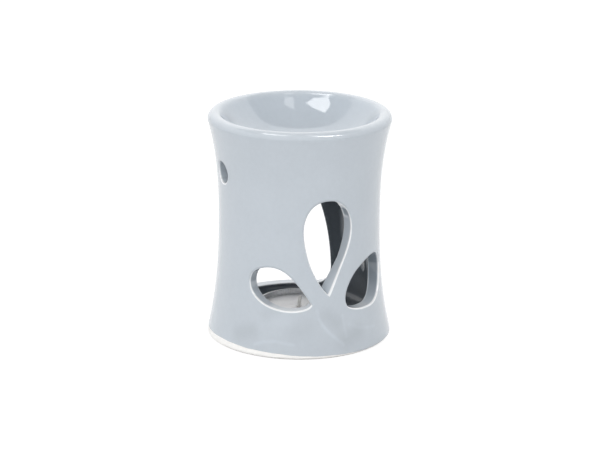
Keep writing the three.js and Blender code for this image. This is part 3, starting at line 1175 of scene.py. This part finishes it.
@dataclass
class Tealight:
    """The tealight: a fluted foil cup, wax, the wick tab under the wax and the wick."""

    height: float = 10.0
    mouth_radius: float = 17.3
    taper: float = 0.5
    sheet: float = 0.12
    bead: float = 0.6
    foot_rounding: float = 0.7
    bead_gap: float = 0.35
    side_step: float = 0.15
    flutes: int = 56
    flute_depth: float = 0.17
    flute_ends: Pair = (0.7, 8.7)
    flute_fades: Pair = (1.2, 1.0)
    wax_top: float = 7.6
    wax_bottom: float = 0.3
    creep_up_cup: Pair = (0.38, 0.7)
    creep_up_wick: Pair = (0.35, 0.8)
    sink: Band = Band(0.22, 0.0, 6.0)
    lumps: float = 0.05
    wick_hole: float = 1.1
    tab_room: tuple[Pair, ...] = ((5.3, 0.45), (5.3, 1.15), (2.0, 1.15), (2.0, 4.15))
    wick_radius: float = 0.8
    wick_bottom: float = 0.9
    wick_top: float = 12.6
    wick_tip: float = 0.5
    wick_straight: float = 5.0
    wick_bend: Pair = (0.012, 0.0048)
    braid_pitch: float = 3.2
    braid_depth: float = 0.08
    columns: int = 448

    def corner(self) -> Array:
        """Centre of the cup's bottom, in mm, taken from its CAD node."""
        low, high = (np.array(point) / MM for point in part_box("tealight_cup"))
        return np.append((low + high)[:2] / 2, low[2])

    def side_radius(self, height: Array, angle: Array) -> Array:
        """Middle of the cup's side: a taper, plus a cosine round it for the flutes.

        Args:
            height: above the cup's bottom, mm.
            angle: radians round the cup.
        Returns:
            The radius, mm. The flutes fade out towards the bottom and the bead by smoothstep.
        """
        (low, high), (fade_low, fade_high) = self.flute_ends, self.flute_fades
        share = np.clip((height - low) / fade_low, 0, 1) * np.clip((high - height) / fade_high, 0, 1)
        smooth = share**2 * (3 - 2 * share)
        rim_height = self.height - self.bead
        plain = self.mouth_radius + self.side_step - self.taper * (1 - height / rim_height)
        return plain + self.flute_depth * smooth * np.cos(self.flutes * angle)

    def cup(self) -> Patch:
        """The cup, as a profile that is carried round.

        Returns:
            Bottom, fluted side, bead rolled outwards by an arc, and the inside.
        """
        angle = around(self.columns)
        rim_height = self.height - self.bead
        rounding, half = self.foot_rounding, self.sheet / 2
        up = np.linspace(rounding, rim_height - self.bead_gap, 26)[:, None]
        down = up[::-1]
        foot = self.side_radius(np.array([[rounding]]), angle)[0, 0] - rounding
        outer_foot = arc((foot + half, rounding), rounding, -90, 0, 6)[:-1]
        inner_foot = arc((foot - half, rounding + self.sheet), rounding, 0, -90, 6)[1:]
        roll = arc((self.mouth_radius + self.bead, rim_height), self.bead, -130, 180, 20)
        share = np.linspace(0, 1, 8)[:-1]
        bottom = pairs(outer_foot[0, 0] * share, 0.0)
        top = pairs(inner_foot[-1, 0] * share[::-1], self.sheet)
        rows = [
            turned(angle, np.vstack([bottom, outer_foot])),
            place(angle, self.side_radius(up, angle) + half, up),
            turned(angle, roll),
            place(angle, self.side_radius(down, angle) - half, down),
            turned(angle, np.vstack([inner_foot, top])),
        ]
        return swept(np.concatenate(rows))

    def wax(self) -> Patch:
        """The wax, as a profile that is carried round.

        Returns:
            A body that follows the flutes, creeps up the cup and the wick by falling exponentials, sinks in
            the middle by a bell curve, and has room for the tab below.
        """
        angle = around(self.columns)
        hole = self.wick_hole
        reach = self.side_radius(np.array([[self.wax_top]]), angle) - self.sheet
        share = np.linspace(1, 0, 44)[:, None] ** 1.4
        radius = hole + (reach - hole) * share
        (at_cup, cup_fade), (at_wick, wick_fade) = self.creep_up_cup, self.creep_up_wick
        creep = at_cup * np.exp((radius - reach) / cup_fade) + at_wick * np.exp((hole - radius) / wick_fade)
        lumps = self.lumps * np.sin(3 * angle + 0.2 * radius) * np.sin(radius * 0.5 + 1)
        surface = self.wax_top + creep - self.sink.at(radius) + lumps * np.clip(share * 3, 0, 1)
        rise = np.linspace(0.75, self.wax_top, 14)[:, None]
        side = self.side_radius(rise, angle) - self.sheet
        room = np.array([*self.tab_room, (hole, self.tab_room[-1][1])])
        below = np.vstack([room[::-1], pairs([9, 14, 15.9], self.wax_bottom)])
        rows = [
            turned(angle, below),
            place(angle, side, rise)[:-1],
            place(angle, radius, surface),
            turned(angle, room[-1:]),
        ]
        return swept(np.concatenate(rows))

    def wick(self) -> Patch:
        """The wick, as rings along a line that leans a little.

        Returns:
            A braid with a blunt top. Its strands are the cosines of two screws that run against each other.
        """
        turn = around(48)
        height = np.linspace(self.wick_bottom, self.wick_top, 150)[:, None]
        climb = TURN / self.braid_pitch * height / 2
        braid = np.abs(np.cos(1.5 * turn + climb)) + np.abs(np.cos(1.5 * turn - climb))
        end = np.clip((self.wick_top - height) / self.wick_tip, 0, 1)
        blunt = np.sqrt(np.clip(1 - (1 - end) ** 2, 0.0, 1))
        strands = 1 - self.braid_depth * (2 - braid)
        rows = place(turn, self.wick_radius * strands * blunt, height)
        rows[..., :2] += np.clip(height - self.wick_straight, 0, None)[..., None] ** 2 * self.wick_bend
        return swept(np.concatenate([rows[:1] * [0, 0, 1], rows]))

    def make(self, foil: Material, wax: Material, cotton: Material) -> None:
        """Builds the cup, the wax and the wick in place of their CAD nodes.

        Args:
            foil: finish of the cup.
            wax: finish of the wax.
            cotton: finish of the wick.
        """
        shift = self.corner()
        wanted = [
            ("tealight_cup_fluted", self.cup(), foil, "tealight_cup", "aluminium_foil"),
            ("tealight_wax_poured", self.wax(), wax, "tealight_wax", "wax"),
            ("wick_braided", self.wick(), cotton, "wick", "cotton"),
        ]
        for name, patch, finish, node, slot in wanted:
            patch.points = patch.points + shift
            piece = build(name, [patch], [finish])
            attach(piece, "tealight")
            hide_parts(node)


# The studio


@dataclass(frozen=True)
class Softbox:
    """A soft lamp of a width and height in metres, placed by degrees right of the camera and up.

    Its level is the light that it throws on a surface facing it, where 1 makes white render as white.
    """

    name: str
    aside: float
    up: float
    width: float
    height: float
    level: float
    distance: float = 2.4


@dataclass(frozen=True)
class Glow:
    """A broad soft light on the tent, or below level 0 a dim stretch of it, which matt surfaces see.

    It is placed by degrees right of the camera and up, and fades evenly with the cosine to its half-angle.
    """

    aside: float
    up: float
    reach: float
    level: float


@dataclass(frozen=True)
class RoofPanel:
    """A panel or window in the tent's roof, which only shiny surfaces see.

    corners are (right, toward the camera) in metres in a plane 1 m above the lamp. They run
    anticlockwise in a plan that has the camera at its top.
    """

    corners: tuple[Pair, ...]
    level: float
    softness: float = 0.012


@dataclass
class Studio:
    """Plain pale floor, soft lamps, a white surround, and the camera at the photograph's angle.

    fill is the tent's light on matt surfaces up to the first of the overhead angles above the horizon,
    and fill_overhead that from the second one on.
    """

    camera_azimuth: float = -21.6
    camera_reach: float = 1.0065
    camera_height: float = 0.3576
    camera_pitch: float = 17.084
    camera_roll: float = 0.35
    lens: float = 144.0
    sensor: float = 36.0
    shift: float = 0.75 / 600
    aim: tuple[float, float, float] = (0.0, 0.0, 0.055)
    fill: float = 0.82
    fill_overhead: float = 0.52
    overhead: Pair = (35.0, 60.0)
    glows: tuple[Glow, ...] = (
        Glow(-2, 14, 45, 1.5),
        Glow(-60, 20, 45, 0.08),
        Glow(-105, 8, 40, 0.5),
        Glow(100, 8, 38, 0.5),
        Glow(50, 20, 45, -0.5),
        Glow(0, 60, 30, 0.08),
        Glow(-110, 50, 38, -0.15),
        Glow(105, 52, 38, -0.42),
        Glow(180, 55, 40, 1.4),
        Glow(180, 22, 32, 2.2),
    )
    roof_panels: tuple[RoofPanel, ...] = (
        RoofPanel(((1.0, -0.28), (0.85, 0.4), (-0.85, 0.4), (-1.0, -0.36), (0.0, -1.03)), 0.0, 0.02),
        RoofPanel(((-0.1, 0.22), (-0.25, 0.33), (-0.54, 0.25), (-0.53, 0.04), (-0.37, -0.17)), 5.3),
        RoofPanel(((0.26, 0.13), (0.28, 0.34), (0.12, 0.36), (0.08, 0.03)), 2.0),
        RoofPanel(((0.98, 0.38), (0.98, 0.7), (0.66, 0.76), (0.22, 0.5), (0.3, 0.36)), 10.5),
    )
    softboxes: tuple[Softbox, ...] = (
        Softbox("left_softbox", -78, 70, 0.7, 0.7, 0.03),
        Softbox("right_softbox", 48, 52, 0.7, 0.4, 0.1),
    )
    floor_radii: tuple[float, ...] = (0.0, 200.0, 1000.0, 5000.0)
    floor_drop: float = 0.02

    def direction(self, aside: float, up: float) -> Vector:
        """Unit vector towards a place, by degrees right of the camera and above the horizon."""
        turn, rise = math.radians(aside + self.camera_azimuth), math.radians(up)
        return Vector((math.cos(rise) * math.sin(turn), -math.cos(rise) * math.cos(turn), math.sin(rise)))

    def place_camera(self) -> None:
        """Sets up the camera: it looks at the lamp's axis from slightly above."""
        data = bpy.data.cameras.new("camera")
        data.lens = self.lens
        data.sensor_width = self.sensor
        data.shift_x = self.shift
        camera = bpy.data.objects.new("camera", data)
        turn = math.radians(self.camera_azimuth)
        reach = self.camera_reach
        camera.location = (reach * math.sin(turn), -reach * math.cos(turn), self.camera_height)
        level = Euler((math.radians(90 - self.camera_pitch), 0, turn)).to_matrix()
        roll = Matrix.Rotation(math.radians(self.camera_roll), 3, "Z")
        camera.rotation_euler = (level @ roll).to_euler()
        bpy.context.scene.collection.objects.link(camera)
        bpy.context.scene.camera = camera

    def hang(self, box: Softbox) -> None:
        """Hangs a soft lamp so that it faces the object.

        Args:
            box: the soft lamp. Its power = level * pi^2 * distance^2.
        """
        data = bpy.data.lights.new(box.name, "AREA")
        data.shape = "RECTANGLE"
        data.size = box.width
        data.size_y = box.height
        data.energy = box.level * math.pi**2 * box.distance**2
        lamp = bpy.data.objects.new(box.name, data)
        toward = self.direction(box.aside, box.up)
        lamp.location = Vector(self.aim) + toward * box.distance
        level = Vector((0, 0, 1)).cross(toward).normalized()
        lamp.rotation_euler = Matrix((level, toward.cross(level), toward)).transposed().to_euler()
        lamp.visible_glossy = False
        bpy.context.scene.collection.objects.link(lamp)

    def surround(self) -> None:
        """The world: a white tent that lights softly, with glows, and panels that only reflections show.

        A direction meets a panel where it is on the inner side of all planes through the lamp and the
        panel's sides.
        """
        world = bpy.data.worlds.new("surround")
        world.use_nodes = True
        sheet = Sheet(world.node_tree)
        spot = sheet.node("TexCoord").outputs["Generated"]
        up = sheet.node("SeparateXYZ", {0: spot}).outputs["Z"]
        seen = 1.0
        aside, forward = self.direction(90, 0), self.direction(0, 0)
        for panel in self.roof_panels:
            corners = [aside * x + forward * y + Vector((0, 0, 1)) for x, y in panel.corners]
            planes = [after.cross(here) for here, after in zip(corners, corners[1:] + corners[:1])]
            sides = [sheet.vector("DOT_PRODUCT", spot, plane.normalized(), "Value") for plane in planes]
            within = sheet.spread(sheet.join("MINIMUM", *sides), -panel.softness, panel.softness)
            seen = sheet.between(within, seen, panel.level)
        low, high = (math.sin(math.radians(angle)) for angle in self.overhead)
        light = sheet.spread(up, low, high, self.fill, self.fill_overhead)
        for glow in self.glows:
            near = sheet.vector("DOT_PRODUCT", spot, self.direction(glow.aside, glow.up), "Value")
            glowing = sheet.spread(near, math.cos(math.radians(glow.reach)), 1, 0, glow.level)
            light = sheet.join("ADD", light, glowing)
        strength = sheet.between(sheet.looked(), light, seen)
        back = sheet.node("Background", {"Color": WHITE, "Strength": strength}).outputs[0]
        sheet.end(back, "OutputWorld")
        bpy.context.scene.world = world

    def lay_floor(self) -> None:
        """Lays a wide round floor just under the foot."""
        disc = swept(turned(around(96), pairs(self.floor_radii, -self.floor_drop)))
        mesh = bpy.data.meshes.new("floor")
        mesh.from_pydata((disc.points * MM).tolist(), [], disc.faces.tolist())
        mesh.materials.append(PaleFloor().material())
        floor = bpy.data.objects.new("floor", mesh)
        bpy.context.scene.collection.objects.link(floor)

    def build(self) -> None:
        """Builds the whole studio."""
        bpy.context.scene.view_settings.view_transform = "Standard"
        self.place_camera()
        for box in self.softboxes:
            self.hang(box)
        self.surround()
        self.lay_floor()


def main() -> None:
    """Builds and dresses the lamp piece by piece, and sets up the studio."""
    logging.basicConfig(level=logging.INFO, format="%(name)s: %(message)s", stream=sys.stdout)
    Studio().build()
    # Painted reflections on the lower body, each from one spot to another: light above 0, dark below.
    painted_reflections = (
        ReflectionLine((-9.1, 20.9), (-8.2, 17.4), 1.3, 0.2),
        ReflectionLine((-8.2, 17.4), (-5.8, 14.5), 1.3, 0.32),
        ReflectionLine((-5.8, 14.5), (-1.4, 10.9), 1.3, 0.4),
        ReflectionLine((-1.4, 10.9), (7.5, 5.3), 1.4, 0.34),
        ReflectionLine((8.6, 17.7), (10.3, 8.4), 1.2, 0.2),
        ReflectionLine((-50, 5.3), (-44, 6.9), 1.3, 0.28),
        ReflectionLine((-44, 6.9), (-36, 7.6), 1.3, 0.3),
        ReflectionLine((-36, 7.6), (-25, 6.4), 1.3, 0.26),
        ReflectionLine((13.4, 13.2), (24, 10.2), 1.4, 0.15),
        ReflectionLine((24, 10.2), (36.4, 8.9), 1.4, 0.18),
        ReflectionLine((-36, 16.0), (-27.6, 16.0), 4.0, 0.12),
        ReflectionLine((-63, 8.0), (-54, 10.5), 6.5, -0.45),
        ReflectionLine((-44, 19.0), (-38, 21.0), 5.0, -0.25),
        ReflectionLine((-3, 18.5), (4, 14.5), 6.0, -0.4),
        ReflectionLine((9, 7.0), (19, 9.0), 7.0, -0.5),
        ReflectionLine((-24, 12.0), (-16, 14.0), 6.0, -0.25),
    )
    body_glaze = PaleGlaze("body_glaze", reflection_lines=painted_reflections).material()
    dish_glaze = PaleGlaze("dish_glaze").material()
    # A darker copy of the glaze for the chamber: painted shade for its dim inside.
    shaded_chamber_glaze = PaleGlaze("shaded_chamber_glaze", body=(101, 108, 115), edge=(226, 230, 234)).material()
    LampBody().make(body_glaze, BareClay().material(), shaded_chamber_glaze)
    OilDish().make(dish_glaze)
    Tealight().make(PressedFoil().material(), Paraffin().material(), WaxedCotton().material())
    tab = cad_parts["wick_tab"]
    tab.data.materials.clear()
    tab.data.materials.append(Tinplate().material())


if __name__ == "__main__":
    main()
